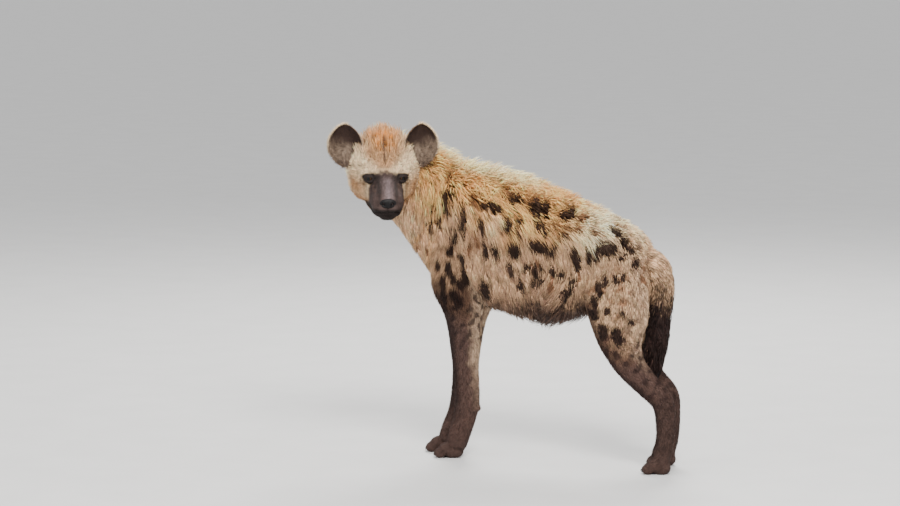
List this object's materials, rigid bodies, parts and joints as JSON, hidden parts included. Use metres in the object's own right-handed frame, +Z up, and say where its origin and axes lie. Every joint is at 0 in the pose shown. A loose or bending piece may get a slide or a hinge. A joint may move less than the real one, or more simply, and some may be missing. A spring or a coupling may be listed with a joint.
{
  "type": "spotted hyena, still life-size model",
  "caption": "Spotted hyena standing on all fours with its head turned to its left, shaggy spotted coat, crest along the nape and back, and a dark tail tuft.",
  "frame": {"origin": "on the floor, under the middle of the whole animal's bounding box", "axes": "+X towards the front of the body, +Y to the animal's left, +Z up"},
  "size_m": [0.966, 0.4804, 0.9576],
  "materials": {
    "coat_fur": "shaggy tan and cream fur with dark brown spots",
    "face_fur": "short cream fur, dark grey-brown on the muzzle",
    "leg_fur": "short brown fur with faint spots",
    "paw_fur": "short dark brown fur over dark pads",
    "tail_fur": "bushy black-brown tuft under a pale root",
    "ear_skin": "thin haired ear, dark grey-brown inside",
    "eye": "wet dark brown eye",
    "nose": "moist black nose leather",
    "claw": "dark worn horn"
  },
  "bodies": {
    "root": {"head": "face_fur", "neck": "coat_fur", "torso": "coat_fur", "tail": "tail_fur", "ear_left": "ear_skin", "ear_right": "ear_skin", "eye_left": "eye", "eye_right": "eye", "foreleg_left": "leg_fur", "foreleg_right": "leg_fur", "forepaw_left": "paw_fur", "forepaw_right": "paw_fur", "hindleg_left": "leg_fur", "hindleg_right": "leg_fur", "hindpaw_left": "paw_fur", "hindpaw_right": "paw_fur"}
  },
  "joints": []
}
